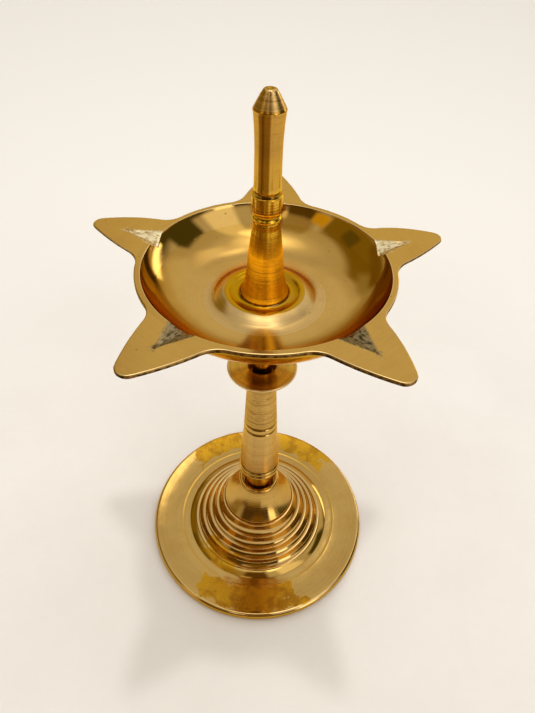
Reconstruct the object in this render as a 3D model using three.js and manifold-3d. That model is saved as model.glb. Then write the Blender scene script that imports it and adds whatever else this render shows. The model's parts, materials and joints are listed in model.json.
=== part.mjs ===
// Standing brass oil lamp with a five-pointed wick bowl. Millimetres, Z up, floor at z = 0.
import * as THREE from 'three';
import { mergeVertices } from 'three/addons/utils/BufferGeometryUtils.js';
import Module from 'manifold-3d';

const wasm = await Module();
wasm.setup();

// Clearance left between neighbouring pieces.
const gap = 0.3;

// Base
const base_radius = 50;
const rim_round = 2.0;
const rim_crest_z = 4.4;
const foot_inner_radius = 46.4;
const foot_outer_radius = 48.8;
const plate_top_z = 2.9;
const plate_under_z = 0.9;
const plate_line_radius = 36.3;
const step_count = 5;
const step_first_radius = 16.5;
const step_foot_radius = 33.3;
const step_first_z = 19.4;
const step_drop_first = 4.7;
const step_drop_change = 0.62;
const step_wall_out = 2.5;
const step_wall_down = 3.3;
const cone_foot_radius = 15.4;
const cone_foot_z = 20.8;
const cone_top_radius = 8.3;
const collar_radius = 8.9;
const collar_ring_round = 1.05;
const collar_mid_z = 34.2;
const counterbore_depth = 3.4;
const counterbore_radius = 7.0;
const base_ceiling_z = 22;
const base_ceiling_radius = 11.6;

// Threaded studs, drawn as plain rods
const lower_stud_radius = 6.2;
const lower_stud_bottom_z = 23;
const lower_stud_top_z = 53.2;
const upper_stud_radius = 3.5;
const upper_stud_bottom_z = 92;
const upper_stud_top_z = 122;
const finial_stud_radius = 2.5;
const finial_stud_bottom_z = 127;
const finial_stud_top_z = 147.6;
const stud_chamfer = 0.5;
const stud_end_room = 0.5;

// Stem
const stem_bottom_z = 43.6;
const stem_bottom_radius = 8.2;
const stem_bead_radius = 8.5;
const stem_bead_height = 2.2;
const stem_mid_z = 74.2;
const stem_mid_radius = 6.55;
const stem_groove_depth = 0.42;
const stem_groove_width = 1.3;
const stem_groove_pitch = 3.1;
const stem_top_radius = 5.15;
const disc_radius = 12.6;
const disc_top_z = 105.7;
const disc_edge_height = 1.1;
const disc_root_z = 101.6;
const disc_rise = 0.35;
const recess_radius = 5.05;
const recess_depth = 4.2;

// Bowl
const bowl_rim_z = 149.0;
const bowl_inner_radius = 37.35;
const bowl_wall = 1.9;
const bowl_outer_radius = bowl_inner_radius + bowl_wall;
const floor_turn_radius = 31.2;
const floor_turn_z = 141.3;
const floor_z = 136.9;
const underside_z = 133.9;
const boss_foot_radius = 16.2;
const boss_crest_radius = 11.7;
const boss_crest_z = 139.3;
const boss_floor_radius = 9.4;
const boss_floor_z = 137.4;
const neck_bottom_z = 113;
const neck_bottom_radius = 6.4;
const neck_waist_radius = 5.3;
const neck_waist_z = 119;
const neck_flare_radius = 14.5;

// Star plate
const wing_count = 5;
const wing_tip_reach = 59.3;
const wing_tip_round = 3.5;
const wing_root_half_angle = 16.4;
const wing_swell = 0.75;
const wing_thickness = 1.3;
const wing_edge = 0.2;
const wing_rise = 1.1;
const wing_turn = [-1.8, -1.4, 0.5, 0.9, -0.6];
const wing_root_fillet = 4.5;
const first_wing_angle = 90;
const notch_half_width = 4.7;
const notch_reach = 47.0;
const notch_depth = 1.25;

// Finial
const finial_bottom_z = boss_floor_z + gap;
const finial_foot_radius = 7.6;
const finial_foot_height = 0.9;
const trumpet_waist_z = 153.5;
const trumpet_waist_radius = 5.15;
const trumpet_top_z = 161.6;
const trumpet_top_radius = 4.0;
const bead_z = 164.4;
const bead_radius = 4.2;
const drum_bottom_z = 166.0;
const drum_top_z = 171.5;
const drum_radius = 4.35;
const drum_bevel = 1.3;
const drum_neck_radius = 3.7;
const shaft_bottom_z = 172.7;
const shaft_radius = 3.75;
const flare_start_z = 183;
const cap_z = 193.4;
const cap_radius = 4.35;
const tip_z = 198.1;
const tip_radius = 1.7;
const centre_hole_radius = 0.6;
const centre_hole_depth = 0.8;

// The star reaches further back than forward, so the lamp's axis stands this far off the frame's origin.
const axis_y = (base_radius - wing_tip_reach) / 2;

// A quarter of a circle or any other arc in the radius-height plane, angles in degrees from outward.
function arc(centre_r, centre_z, round, from, to, steps) {
  const points = [];
  for (let i = 0; i <= steps; i++) {
    const a = THREE.MathUtils.degToRad(from + ((to - from) * i) / steps);
    points.push([centre_r + round * Math.cos(a), centre_z + round * Math.sin(a)]);
  }
  return points;
}

// A curve from one point to another that leaves and arrives along the lines to the middle point.
function bend(start, middle, end, steps) {
  const points = [];
  for (let i = 0; i <= steps; i++) {
    const t = i / steps;
    const s = 1 - t;
    points.push([0, 1].map((k) => s * s * start[k] + 2 * s * t * middle[k] + t * t * end[k]));
  }
  return points;
}

// A shallow round-bottomed groove cut into a wall that runs down between two radii.
function groove(wall_radius, middle_z, width, depth) {
  return [1, 0.45, -0.45, -1].map((k) => [
    wall_radius - (Math.abs(k) < 1 ? depth : 0), middle_z + (k * width) / 2]);
}

function cleaned(geometry) {
  const bare = new THREE.BufferGeometry();
  bare.setAttribute('position', geometry.getAttribute('position'));
  bare.setIndex(geometry.getIndex());
  const merged = mergeVertices(bare, 1e-4);
  const corners = merged.getIndex().array;
  const kept = [];
  for (let i = 0; i < corners.length; i += 3) {
    const [a, b, c] = [corners[i], corners[i + 1], corners[i + 2]];
    if (a !== b && b !== c && c !== a) kept.push(a, b, c);
  }
  merged.setIndex(kept);
  return merged;
}

// Six times the volume that a closed surface holds, negative when it faces inwards.
function signedVolume(geometry) {
  const at = geometry.getAttribute('position');
  const corners = geometry.getIndex().array;
  const [a, b, c] = [new THREE.Vector3(), new THREE.Vector3(), new THREE.Vector3()];
  let sum = 0;
  for (let i = 0; i < corners.length; i += 3) {
    a.fromBufferAttribute(at, corners[i]);
    b.fromBufferAttribute(at, corners[i + 1]);
    c.fromBufferAttribute(at, corners[i + 2]);
    sum += a.dot(b.cross(c));
  }
  return sum;
}

// A turned piece: the profile is a list of [radius, height] pairs.
function turned(profile, segments) {
  const points = profile.map(([r, z]) => new THREE.Vector2(Math.max(r, 0), z));
  const geometry = new THREE.LatheGeometry(points, segments);
  geometry.rotateX(Math.PI / 2);
  const shell = cleaned(geometry);
  if (signedVolume(shell) < 0) {
    shell.setIndex(Array.from(shell.getIndex().array).reverse());
  }
  return shell;
}

function solidOf(geometry) {
  const shell = cleaned(geometry);
  return new wasm.Manifold(new wasm.Mesh({
    numProp: 3,
    vertProperties: Float32Array.from(shell.getAttribute('position').array),
    triVerts: Uint32Array.from(shell.getIndex().array),
  }));
}

function geometryOf(solid) {
  const mesh = solid.getMesh();
  const geometry = new THREE.BufferGeometry();
  geometry.setAttribute('position', new THREE.BufferAttribute(Float32Array.from(mesh.vertProperties), 3));
  geometry.setIndex(Array.from(mesh.triVerts));
  return geometry;
}

const group = new THREE.Group();
group.name = 'standing_oil_lamp';

function addPiece(name, geometry, colour, roughness) {
  geometry.translate(0, axis_y, 0);
  const material = new THREE.MeshStandardMaterial({ color: colour, roughness, metalness: 1 });
  material.name = name;
  const mesh = new THREE.Mesh(geometry, material);
  mesh.name = name;
  group.add(mesh);
}

function studProfile(radius, bottom_z, top_z) {
  return [[0, bottom_z], [radius - stud_chamfer, bottom_z], [radius, bottom_z + stud_chamfer],
    [radius, top_z - stud_chamfer], [radius - stud_chamfer, top_z], [0, top_z]];
}

// Edges of the rounded steps, from the cone down to the plate; each drop is smaller than the last.
function stepEdges() {
  const edges = [];
  let z = step_first_z;
  for (let i = 0; i < step_count; i++) {
    const r = step_first_radius + ((step_foot_radius - step_first_radius) * i) / step_count;
    edges.push([r, z]);
    z -= step_drop_first - step_drop_change * i;
  }
  return edges;
}

function baseProfile() {
  const edges = stepEdges();
  const foot = [step_foot_radius, plate_top_z - 0.2];
  const collar_round_r = collar_radius - collar_ring_round;
  const counterbore_z = collar_mid_z + collar_ring_round - counterbore_depth;
  const bore = lower_stud_radius + gap;
  const profile = [[bore, base_ceiling_z], [bore, counterbore_z], [counterbore_radius, counterbore_z],
    [counterbore_radius, collar_mid_z + 0.55]];
  profile.push(...arc(collar_round_r, collar_mid_z, collar_ring_round, 105, -50, 5));
  profile.push([cone_top_radius, collar_mid_z - 1.05], [cone_foot_radius, cone_foot_z]);
  edges.forEach(([r, z], i) => {
    const [next_r, next_z] = i + 1 < step_count ? edges[i + 1] : foot;
    profile.push([r - 0.75, z + 0.32], [r - 0.2, z + 0.22], [r + 0.12, z - 0.35]);
    if (i + 1 < step_count) {
      profile.push([next_r - 1.75, next_z + 1.0], [next_r - 1.35, next_z + 0.42]);
    }
  });
  profile.push([step_foot_radius - 0.5, plate_top_z + 0.35], foot);
  profile.push([plate_line_radius, plate_top_z], [plate_line_radius + 0.4, plate_top_z + 0.1]);
  profile.push([base_radius - 8, plate_top_z + 0.25], [base_radius - 3.6, rim_crest_z - 0.55]);
  profile.push(...arc(base_radius - rim_round, rim_crest_z - rim_round, rim_round, 105, -40, 5));
  profile.push([foot_outer_radius, 0], [foot_inner_radius, 0], [foot_inner_radius - 0.9, plate_under_z]);
  profile.push([step_foot_radius - 1.2, plate_under_z]);
  for (const [r, z] of edges.slice(1).reverse()) {
    profile.push([r - step_wall_out, Math.max(z - step_wall_down, plate_under_z + 0.5)]);
  }
  profile.push([base_ceiling_radius + 1.6, base_ceiling_z - 3.4], [base_ceiling_radius, base_ceiling_z]);
  profile.push([bore, base_ceiling_z]);
  return profile;
}

function stemRadiusAt(z) {
  const low = [stem_bottom_z + 2 * stem_bead_height + 1, stem_bottom_radius];
  const mid = [stem_mid_z, stem_mid_radius];
  const high = [disc_root_z, stem_top_radius];
  const [a, b] = z < mid[0] ? [low, mid] : [mid, high];
  return THREE.MathUtils.mapLinear(z, a[0], b[0], a[1], b[1]);
}

function stemProfile() {
  const lower_bore = lower_stud_radius + gap;
  const upper_bore = upper_stud_radius + gap;
  const bead_mid = stem_bottom_z + stem_bead_height / 2;
  const profile = [[0, lower_stud_top_z + stud_end_room], [lower_bore, lower_stud_top_z + stud_end_room],
    [lower_bore, stem_bottom_z], [stem_bottom_radius - 0.5, stem_bottom_z]];
  for (let i = 0; i < 2; i++) {
    const z = bead_mid + i * (stem_bead_height + 0.1);
    profile.push([stem_bead_radius - 0.2, z - 0.8], [stem_bead_radius, z], [stem_bead_radius - 0.2, z + 0.8]);
    profile.push([stem_bottom_radius - 0.25, z + stem_bead_height / 2 + 0.05]);
  }
  const shoulder_z = stem_bottom_z + 2 * stem_bead_height + 1;
  const lower_half_z = (shoulder_z + stem_mid_z) / 2;
  profile.push([stemRadiusAt(shoulder_z), shoulder_z], [stemRadiusAt(lower_half_z), lower_half_z]);
  for (const side of [-0.5, 0.5]) {
    const z = stem_mid_z + side * stem_groove_pitch;
    const cut = groove(stemRadiusAt(z), z, stem_groove_width, stem_groove_depth).reverse();
    profile.push(...cut);
  }
  const upper_half_z = (stem_mid_z + disc_root_z) / 2;
  profile.push([stemRadiusAt(upper_half_z), upper_half_z], [stem_top_radius, disc_root_z]);
  profile.push([stem_top_radius + 1.6, disc_root_z + 1.5]);
  const disc_edge_z = disc_top_z - disc_edge_height;
  profile.push([disc_radius - 0.3, disc_edge_z], [disc_radius, disc_edge_z + 0.3]);
  profile.push([disc_radius, disc_top_z - 0.3], [disc_radius - 0.3, disc_top_z]);
  profile.push([recess_radius + 0.3, disc_top_z + disc_rise], [recess_radius, disc_top_z + disc_rise - 0.3]);
  profile.push([recess_radius, disc_top_z - recess_depth], [upper_bore, disc_top_z - recess_depth]);
  profile.push([upper_bore, upper_stud_bottom_z - stud_end_room], [0, upper_stud_bottom_z - stud_end_room]);
  return profile;
}

function bowlProfile() {
  const neck_bore = upper_stud_radius + gap;
  const finial_bore = finial_stud_radius + gap;
  const wall_foot = bowl_rim_z - wing_thickness;
  const profile = [[0, upper_stud_top_z + stud_end_room], [neck_bore, upper_stud_top_z + stud_end_room],
    [neck_bore, neck_bottom_z], [neck_bottom_radius - 0.4, neck_bottom_z],
    [neck_bottom_radius, neck_bottom_z + 0.4], [neck_bottom_radius, neck_bottom_z + 1.6],
    [neck_waist_radius, neck_bottom_z + 2.4]];
  profile.push([neck_waist_radius, neck_waist_z]);
  profile.push(...bend([neck_waist_radius, neck_waist_z + 2], [neck_waist_radius + 0.5, underside_z - 1.2],
    [neck_flare_radius, underside_z], 5));
  const outer_turn = [floor_turn_radius + bowl_wall - 0.1, floor_turn_z - bowl_wall - 0.1];
  profile.push(...bend([neck_flare_radius + 3, underside_z + 0.15],
    [floor_turn_radius - 3.4, underside_z + 0.9], outer_turn, 5));
  profile.push(...bend(outer_turn, [bowl_outer_radius - 1.95, floor_turn_z + 1.5],
    [bowl_outer_radius - 0.2, wall_foot], 5).slice(1));
  profile.push([bowl_outer_radius, wall_foot + 0.3], [bowl_outer_radius, bowl_rim_z - 0.25]);
  profile.push([bowl_outer_radius - 0.25, bowl_rim_z], [bowl_inner_radius + 0.2, bowl_rim_z]);
  profile.push(...bend([bowl_inner_radius, bowl_rim_z - 0.2], [bowl_inner_radius - 2.35, floor_turn_z + 3.2],
    [floor_turn_radius, floor_turn_z], 5));
  profile.push(...bend([floor_turn_radius, floor_turn_z], [floor_turn_radius - 4.7, floor_z + 0.2],
    [boss_foot_radius, floor_z], 6).slice(1));
  profile.push(...bend([boss_foot_radius, floor_z], [boss_foot_radius - 1.6, boss_crest_z],
    [boss_crest_radius + 0.4, boss_crest_z], 4).slice(1));
  profile.push([boss_crest_radius - 0.35, boss_crest_z - 0.25]);
  profile.push([boss_floor_radius + 0.5, boss_floor_z + 0.35], [boss_floor_radius - 0.4, boss_floor_z]);
  profile.push([finial_bore, boss_floor_z], [finial_bore, finial_stud_bottom_z - stud_end_room],
    [0, finial_stud_bottom_z - stud_end_room]);
  return profile;
}

// Angle of a wing's middle line; each wing is turned a little off the even spacing, as cast.
function wingAngle(wing) {
  return THREE.MathUtils.degToRad(first_wing_angle + (360 / wing_count) * wing + wing_turn[wing]);
}

// Half of one wing seen from above, from the rim through a rounded inside corner to the tip.
function wingSide() {
  const root_angle = THREE.MathUtils.degToRad(wing_root_half_angle);
  const rim_angle = root_angle + wing_root_fillet / bowl_outer_radius;
  const on_rim = (a) => [bowl_outer_radius * Math.cos(a), bowl_outer_radius * Math.sin(a)];
  const root = on_rim(root_angle);
  const tip_centre = wing_tip_reach - wing_tip_round;
  const edge = (t) => [THREE.MathUtils.lerp(root[0], tip_centre + 0.6 * wing_tip_round, t),
    THREE.MathUtils.lerp(root[1], 0.8 * wing_tip_round, t) + 4 * wing_swell * t * (1 - t)];
  const side = bend(on_rim(rim_angle), root, edge(0.2), 4);
  for (const t of [0.4, 0.6, 0.8, 1]) side.push(edge(t));
  return [...side, ...arc(tip_centre, 0, wing_tip_round, 40, 0, 3)];
}

// One wing of the star seen from above, from its right root round the tip to its left root.
function wingOutline(wing) {
  const left = wingSide();
  const right = left.slice(0, -1).map(([along, across]) => [along, -across]);
  return [...right, ...left.reverse()].map(([along, across]) => (
    new THREE.Vector2(along, across).rotateAround(new THREE.Vector2(), wingAngle(wing))));
}

function starPlate() {
  const outline = [];
  const inside_rim = bowl_outer_radius - 0.3;
  const root_span = THREE.MathUtils.degToRad(wing_root_half_angle) + wing_root_fillet / bowl_outer_radius;
  for (let wing = 0; wing < wing_count; wing++) {
    outline.push(...wingOutline(wing));
    const from = wingAngle(wing) + root_span;
    const next = wing + 1 < wing_count ? wingAngle(wing + 1) : wingAngle(0) + 2 * Math.PI;
    for (let i = 1; i < 6; i++) {
      const a = THREE.MathUtils.lerp(from, next - root_span, i / 6);
      outline.push(new THREE.Vector2(inside_rim * Math.cos(a), inside_rim * Math.sin(a)));
    }
  }
  const shape = new THREE.Shape(outline);
  const hole = new THREE.Path();
  hole.absarc(0, 0, (bowl_inner_radius + bowl_outer_radius) / 2, 0, 2 * Math.PI, true);
  shape.holes.push(hole);
  const plate = new THREE.ExtrudeGeometry(shape, {
    depth: wing_thickness - 2 * wing_edge, curveSegments: 24, bevelEnabled: true, bevelSegments: 1,
    bevelSize: wing_edge, bevelThickness: wing_edge, bevelOffset: -wing_edge });
  plate.translate(0, 0, bowl_rim_z - wing_thickness + wing_edge - 0.02);
  const at = plate.getAttribute('position');
  for (let i = 0; i < at.count; i++) {
    const past_rim = Math.hypot(at.getX(i), at.getY(i)) - bowl_outer_radius;
    const out = past_rim / (wing_tip_reach - bowl_outer_radius);
    at.setZ(i, at.getZ(i) + wing_rise * Math.max(0, out));
  }
  return plate;
}

// The wedge that a file takes out of a wing for its wick, deepest at the bowl's wall.
function wickNotch(wing) {
  const inner = bowl_inner_radius - 4;
  const deepen = (notch_reach - inner) / (notch_reach - bowl_inner_radius);
  const over = 1;
  const spread = (notch_depth + over) / notch_depth;
  const top = bowl_rim_z + over;
  const apex_reach = notch_reach + over * 4;
  const half = notch_half_width * deepen * spread;
  const corners = [[apex_reach, 0, top], [inner, half, top], [inner, -half, top],
    [inner, 0, bowl_rim_z - notch_depth * deepen]];
  const wedge = new THREE.BufferGeometry();
  wedge.setAttribute('position', new THREE.Float32BufferAttribute(corners.flat(), 3));
  wedge.setIndex([0, 1, 2, 0, 3, 1, 0, 2, 3, 1, 3, 2]);
  wedge.rotateZ(wingAngle(wing));
  return wedge;
}

function starBowl() {
  let bowl = solidOf(turned(bowlProfile(), 60)).add(solidOf(starPlate()));
  for (let wing = 0; wing < wing_count; wing++) bowl = bowl.subtract(solidOf(wickNotch(wing)));
  return geometryOf(bowl);
}

function finialProfile() {
  const bore = finial_stud_radius + gap;
  const profile = [[0, finial_stud_top_z + stud_end_room], [bore, finial_stud_top_z + stud_end_room],
    [bore, finial_bottom_z], [finial_foot_radius - 0.3, finial_bottom_z]];
  profile.push([finial_foot_radius, finial_bottom_z + 0.3],
    [finial_foot_radius, finial_bottom_z + finial_foot_height]);
  const foot_top_z = finial_bottom_z + finial_foot_height;
  const waist = [trumpet_waist_radius, trumpet_waist_z];
  profile.push(...bend([finial_foot_radius - 0.25, foot_top_z + 0.4],
    [trumpet_waist_radius + 0.45, foot_top_z + 0.51 * (trumpet_waist_z - foot_top_z)], waist, 5));
  profile.push([trumpet_top_radius + 0.43 * (trumpet_waist_radius - trumpet_top_radius),
    trumpet_top_z - 0.37 * (trumpet_top_z - trumpet_waist_z)]);
  profile.push([trumpet_top_radius, trumpet_top_z], [trumpet_top_radius - 0.1, bead_z - 1.1]);
  profile.push(...arc(bead_radius - 0.75, bead_z, 0.75, -60, 60, 4));
  profile.push([bead_radius - 0.5, drum_bottom_z - 0.5], [drum_radius - 0.55, drum_bottom_z]);
  profile.push([drum_radius, drum_bottom_z + drum_bevel], [drum_radius, drum_top_z - 0.3],
    [drum_radius - 0.3, drum_top_z], [drum_neck_radius, drum_top_z + 0.15]);
  profile.push([drum_neck_radius - 0.15, shaft_bottom_z - 0.5], [shaft_radius - 0.15, shaft_bottom_z - 0.35],
    [shaft_radius + 0.15, shaft_bottom_z + 0.2], [shaft_radius + 0.05, shaft_bottom_z + 0.9]);
  profile.push([shaft_radius - 0.07, flare_start_z]);
  profile.push([shaft_radius + 0.1, flare_start_z + 5.3], [cap_radius - 0.1, cap_z - 0.6]);
  profile.push([cap_radius, cap_z]);
  profile.push([tip_radius + 0.35, tip_z - 0.75], [tip_radius - 0.25, tip_z]);
  profile.push([centre_hole_radius, tip_z], [0, tip_z - centre_hole_depth]);
  return profile;
}

addPiece('base', turned(baseProfile(), 60), 0xc9a35a, 0.22);
addPiece('lower_stud', turned(studProfile(lower_stud_radius, lower_stud_bottom_z, lower_stud_top_z), 40),
  0xa8823f, 0.35);
addPiece('stem', turned(stemProfile(), 40), 0xc6a468, 0.38);
addPiece('upper_stud', turned(studProfile(upper_stud_radius, upper_stud_bottom_z, upper_stud_top_z), 32),
  0xa8823f, 0.35);
addPiece('bowl', starBowl(), 0xc8a561, 0.25);
addPiece('finial_stud', turned(studProfile(finial_stud_radius, finial_stud_bottom_z, finial_stud_top_z), 32),
  0xa8823f, 0.35);
addPiece('finial', turned(finialProfile(), 40), 0xcc9d44, 0.25);

export default group;
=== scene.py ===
"""Looks of a standing brass oil lamp: stepped base, turned stem, star-shaped wick bowl and tall finial."""

import json
import math

import bpy
import numpy as np
from mathutils import Matrix, Vector, noise


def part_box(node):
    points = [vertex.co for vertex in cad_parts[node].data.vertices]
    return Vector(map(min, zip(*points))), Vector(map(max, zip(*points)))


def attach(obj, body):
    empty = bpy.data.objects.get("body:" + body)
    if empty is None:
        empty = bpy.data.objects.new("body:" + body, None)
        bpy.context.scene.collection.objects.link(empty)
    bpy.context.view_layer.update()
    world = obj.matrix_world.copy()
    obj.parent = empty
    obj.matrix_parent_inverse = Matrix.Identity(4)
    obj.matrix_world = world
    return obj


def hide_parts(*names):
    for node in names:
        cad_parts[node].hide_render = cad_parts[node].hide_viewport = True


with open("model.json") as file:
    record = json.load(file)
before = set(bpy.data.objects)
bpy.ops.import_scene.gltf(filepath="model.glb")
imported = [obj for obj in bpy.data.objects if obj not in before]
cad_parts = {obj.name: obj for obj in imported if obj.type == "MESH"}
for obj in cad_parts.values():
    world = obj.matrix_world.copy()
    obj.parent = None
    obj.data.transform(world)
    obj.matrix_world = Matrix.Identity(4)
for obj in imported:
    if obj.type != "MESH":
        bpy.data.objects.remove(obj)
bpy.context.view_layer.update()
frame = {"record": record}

mm = 0.001


def extent(node):
    """Lowest height, highest height and radius of a turned CAD node, in millimetres."""
    low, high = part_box(node)
    return low.z / mm, high.z / mm, (high.x - low.x) / 2 / mm


_, collar_top_z, base_radius = extent("base")
stem_bottom_z, stem_top_z, disc_radius = extent("stem")
bowl_bottom_z, _, _ = extent("bowl")
finial_bottom_z, tip_z, finial_foot_radius = extent("finial")
base_low, base_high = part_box("base")
axis_x = (base_low.x + base_high.x) / 2
axis_y = (base_low.y + base_high.y) / 2

sharp_edge_degrees = 38

# Base, in millimetres
rim_round = 1.95
rim_crest_z = 4.38
foot_inner_radius = 46.4
foot_outer_radius = 48.8
plate_top_z = 2.9
plate_under_z = 0.9
plate_line_radius = 36.3
dish_middle_radius = 42.5
step_count = 5
step_first_radius = 16.5
step_foot_radius = 33.3
step_first_z = 19.4
step_drop_first = 4.7
step_drop_change = 0.62
step_wall_out = 2.5
step_wall_down = 3.3
lip_width = 1.35
lip_rise = 0.32
lip_round = 0.27
hollow_out = 0.36
hollow_down = 0.66
cone_foot_radius = 15.4
cone_foot_z = 20.8
cone_waist = (10.8, 26.0)
cone_top_radius = 8.3
collar_radius = 8.9
collar_ring_round = 1.05
counterbore_depth = 3.4
counterbore_radius = 7.0
base_ceiling_z = 22
base_ceiling_radius = 11.6

# Stem
stem_bottom_radius = 8.2
stem_bead_radius = 8.5
stem_bead_height = 2.2
stem_bead_round = 0.95
stem_shoulder_z = stem_bottom_z + 2 * stem_bead_height + 1
stem_mid_z = 74.2
stem_mid_radius = 6.55
stem_groove_depth = 0.42
stem_groove_width = 1.3
stem_groove_pitch = 3.1
stem_top_radius = 5.15
disc_edge_height = 1.1
disc_edge_round = 0.35
disc_under_round = 0.3
disc_rise = 0.35
disc_top_z = stem_top_z - disc_rise
disc_root_z = disc_top_z - 4.1
recess_radius = 5.05
recess_depth = 4.2

# Bowl and its five wings
bowl_rim_z = 149.0
bowl_inner_radius = 37.35
bowl_outer_radius = 39.25
floor_turn_radius = 31.2
floor_turn_z = 141.3
floor_z = 136.9
underside_z = 133.9
boss_foot_radius = 16.2
boss_crest_radius = 11.7
boss_crest_z = 139.3
boss_floor_radius = 9.4
boss_floor_z = 137.4
seat_depth = 1.05
floor_middle_radius = 28.0
gloss_from_radius = 24
wall_foot_radius = 33.6
wall_foot_z = 143.2
wall_middle = (36.3, 146.3)
neck_bottom_radius = 6.4
neck_waist_radius = 5.3
neck_waist_z = 119
neck_flare_radius = 14.5
wing_count = 5
wing_tip_reach = 59.28
wing_tip_round = 3.5
wing_root_half_angle = 16.4
wing_root_fillet = 4.5
wing_thickness = 1.3
wing_turn = (-1.8, -1.4, 0.5, 0.9, -0.6)
# Each wing was sawn and filed by hand: back, left, front left, front right, right
wing_side_swell = ((0.75, 0.75), (1.5, 0.75), (0.75, 0.75), (0.75, 0.95), (0.75, 1.9))
wing_reach_change = (-0.3, 0.2, -0.3, -0.1, -0.9)
wing_tip_rise = (1.05, 1.05, 1.0, 0.55, 1.05)
wing_edge_share = (0.8, 0.55, 0.95, 1.0, 0.7)
wing_top_round = 0.34
wing_low_round = 0.22
bowl_lean = (0.5, -0.3)
notch_half_width = (4.0, 4.3, 4.5, 4.5, 4.2)
notch_reach = (46.5, 47.9, 47.0, 47.4, 46.4)
notch_valley = (0.0, 1.3, 0.3, 0.0, -1.3)
notch_depth = 1.2
notch_lip_depth = 1.0
notch_start_radius = 36
# How much darker each wing's filed notch is drawn: back, left, front left, front right, right.
notch_darkness_of_wing = (0.15, 0.05, 0.9, 1.0, 0.2)

# Finial
tool_ring_depth = 0.035
trumpet_waist_z = 153.5
trumpet_waist_radius = 5.15
trumpet_top_z = 161.6
trumpet_top_radius = 4.0
bead_z = 164.4
bead_radius = 4.2
drum_bottom_z = 166.0
drum_top_z = 171.5
drum_radius = 4.35
drum_bevel = 1.3
drum_neck_radius = 3.7
shaft_bottom_z = 172.7
shaft_radius = 3.75
flare_start_z = 183
cap_z = 193.4
cap_radius = 4.33
tip_radius = 1.7

# Studs and their bores
bore_clearance = 0.3
bore_end_room = 0.5
lower_pitch = 2.0
upper_pitch = 1.5
lower_plain_part = (33.0, 42.5)
upper_plain_part = (101.0, 112.5)
finial_plain_part = (137.0, 137.9)
thread_chamfer = 0.5
thread_chamfer_height = 0.6
thread_run_out = 0.8


def bore_for(node):
    """Radius of the bore for a stud, then the heights where a bore ends below and above the stud."""
    bottom, top, radius = extent(node)
    return radius + bore_clearance, bottom - bore_end_room, top + bore_end_room


# ---------------------------------------------------------------- outlines

def arc(centre_r, centre_z, size, start, end, steps):
    """Points on an arc in the radius-height plane; angles in degrees, 0 outward and 90 up."""
    angles = [math.radians(start + (end - start) * i / steps) for i in range(steps + 1)]
    return [(centre_r + size * math.cos(a), centre_z + size * math.sin(a)) for a in angles]


def bend(start, middle, end, steps):
    """A curve that leaves start and reaches end along the lines to middle."""
    points = []
    for i in range(steps + 1):
        t = i / steps
        s = 1 - t
        points.append(tuple(s * s * start[k] + 2 * s * t * middle[k] + t * t * end[k] for k in (0, 1)))
    return points


def closely_spaced(outline, widest=1.1, beside_corner=0.12):
    """The same outline with points beside each corner and no long stretch without a point."""
    finer = [outline[0]]
    for (r0, z0, *f0), (r1, z1, *f1) in zip(outline, outline[1:]):
        length = math.hypot(r1 - r0, z1 - z0)
        if length < 1e-6:
            continue
        stops = [1.0]
        if length > 3 * beside_corner:
            near = beside_corner / length
            inner = max(1, math.ceil((length - 2 * beside_corner) / widest))
            stops = [near + (1 - 2 * near) * i / inner for i in range(inner + 1)] + [1.0]
        for t in stops:
            finish = (a + (b - a) * t for a, b in zip(f0, f1))
            finer.append((r0 + (r1 - r0) * t, z0 + (z1 - z0) * t, *finish))
    return finer


def finished(points, satin, warm=0.5):
    """Outline points that carry their finish.

    Satin 0 is polished, 1 is left from the lathe and 2 is as cast. Warm 0 is pale bare brass,
    1 is deep gold and -1 is pale bright brass, which is partly an edge worn bright and partly a painted
    highlight on edges and a painted lightening of faces in shade.
    """
    return [(r, z, satin, warm) for r, z in points]


def hollowness(outline, reach=0.8, full_depth=0.28):
    """How far each outline point lies in a groove or an inside corner, from 0 to 1."""
    p = np.array([point[:2] for point in outline])
    steps = np.hypot(*np.diff(p, axis=0).T)
    along = np.concatenate([[0], np.cumsum(steps)])
    before = np.array([np.interp(along - reach, along, p[:, k]) for k in (0, 1)]).T
    after = np.array([np.interp(along + reach, along, p[:, k]) for k in (0, 1)]).T
    lean = after - before
    normal = np.stack([lean[:, 1], -lean[:, 0]], axis=1)
    normal /= np.maximum(np.linalg.norm(normal, axis=1), 1e-9)[:, None]
    middle = (before + after) / 2
    area = np.sum(p[:-1, 0] * p[1:, 1] - p[1:, 0] * p[:-1, 1])
    side = 1.0 if area > 0 else -1.0
    inward = np.sum((middle - p) * normal, axis=1) * side
    return np.clip(inward / full_depth, 0, 1)


# ---------------------------------------------------------------- meshes

def faces_between(rings, closed):
    """Faces that join each ring to the next, and the last to the first on a closed outline."""
    starts = np.cumsum([0] + [len(ring) for ring in rings]).tolist()
    faces = []
    for i in range(len(rings) if closed else len(rings) - 1):
        j = (i + 1) % len(rings)
        a, b, n = starts[i], starts[j], max(len(rings[i]), len(rings[j]))
        for k in range(n):
            m = (k + 1) % n
            if len(rings[i]) == 1:
                faces.append((a, b + k, b + m))
            elif len(rings[j]) == 1:
                faces.append((a + m, a + k, b))
            else:
                faces.append((a + m, a + k, b + k, b + m))
    return faces


def faces_inwards(mesh, faces, tried=20000):
    """Whether the faces look into the metal, judged by the volume under a share of them."""
    corners = np.array([v.co for v in mesh.vertices])
    volume = 0.0
    for face in faces[:: max(1, len(faces) // tried)]:
        a, b, c = corners[face[0]], corners[face[1]], corners[face[2]]
        volume += float(np.dot(a, np.cross(b, c)))
    return volume < 0


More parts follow.
